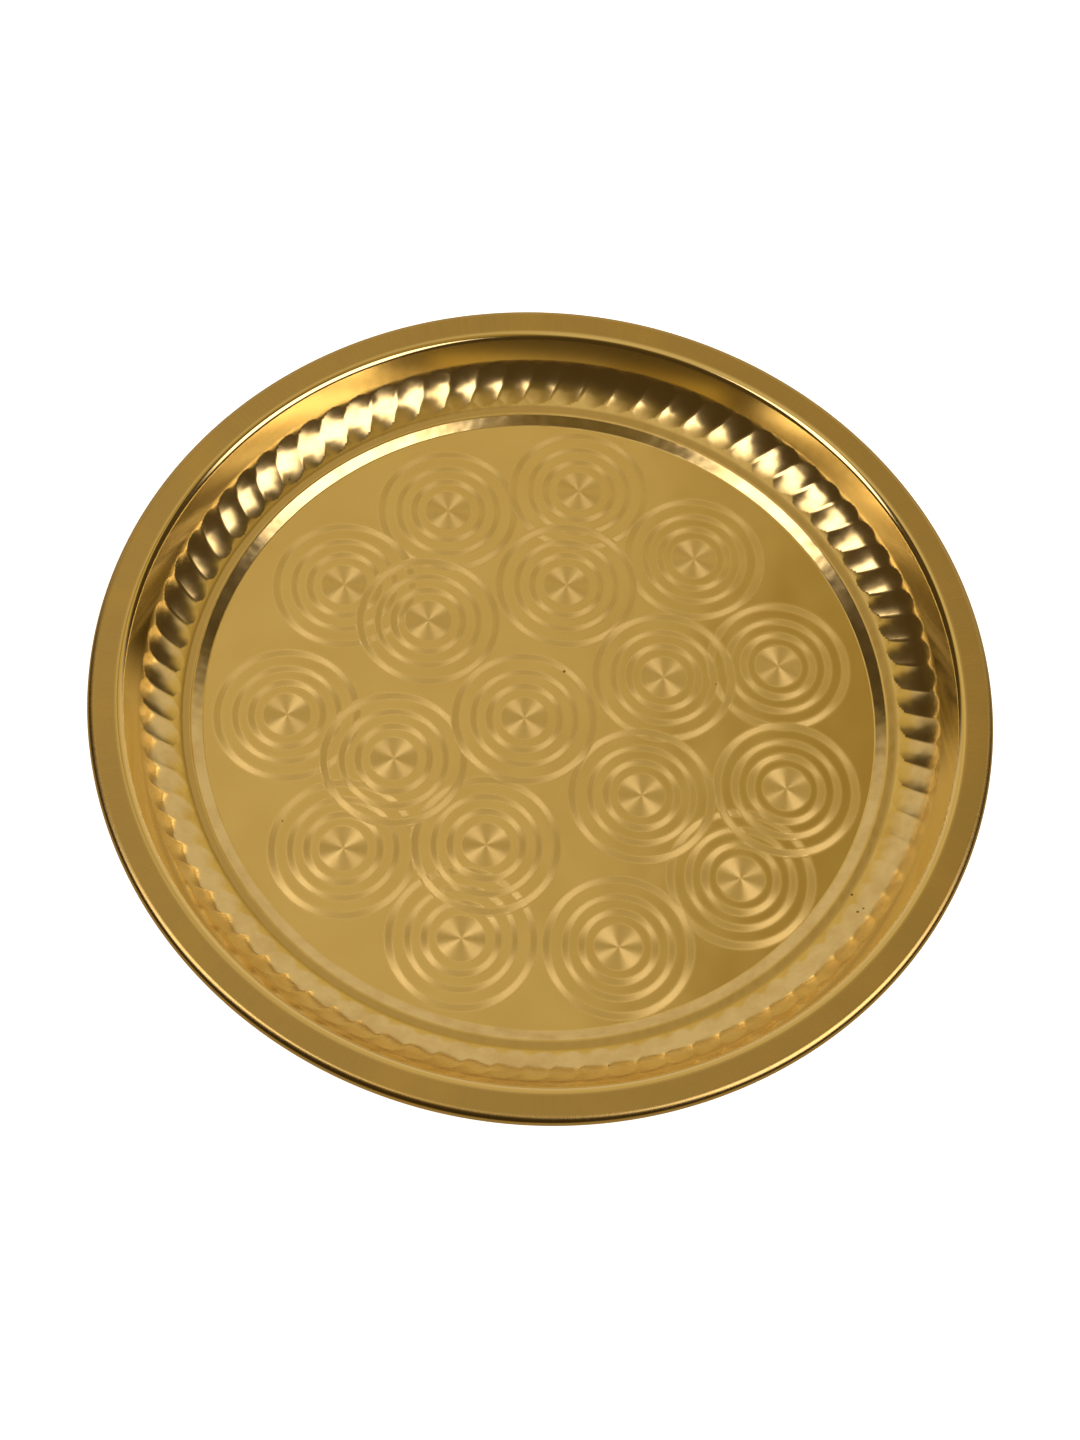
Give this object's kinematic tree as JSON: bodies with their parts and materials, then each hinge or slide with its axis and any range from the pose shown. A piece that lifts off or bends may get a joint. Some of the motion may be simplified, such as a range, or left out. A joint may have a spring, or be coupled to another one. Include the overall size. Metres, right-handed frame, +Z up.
{
  "type": "round serving tray",
  "caption": "Round shallow brass tray with a recessed floor, a narrow ledge, slanted flutes round a coved wall, a level rim and an edge rolled over a wire.",
  "frame": {"origin": "centre of the underside of the floor, on the surface that the tray stands on", "axes": "+Z up along the tray's axis; +Y towards the side furthest from the viewer; +X to the viewer's right"},
  "size_m": [0.3, 0.3, 0.0223],
  "materials": {
    "satin_brass": "satin, with overlapping marks of concentric brushed rings",
    "polished_brass": "polished",
    "brushed_brass": "brushed across the rim",
    "wire_steel": "drawn"
  },
  "bodies": {
    "root": {"floor_disc": "satin_brass", "floor_step": "polished_brass", "fluted_wall": "polished_brass", "rim_flange": "brushed_brass", "rolled_edge": "brushed_brass", "edge_wire": "wire_steel"}
  },
  "joints": []
}
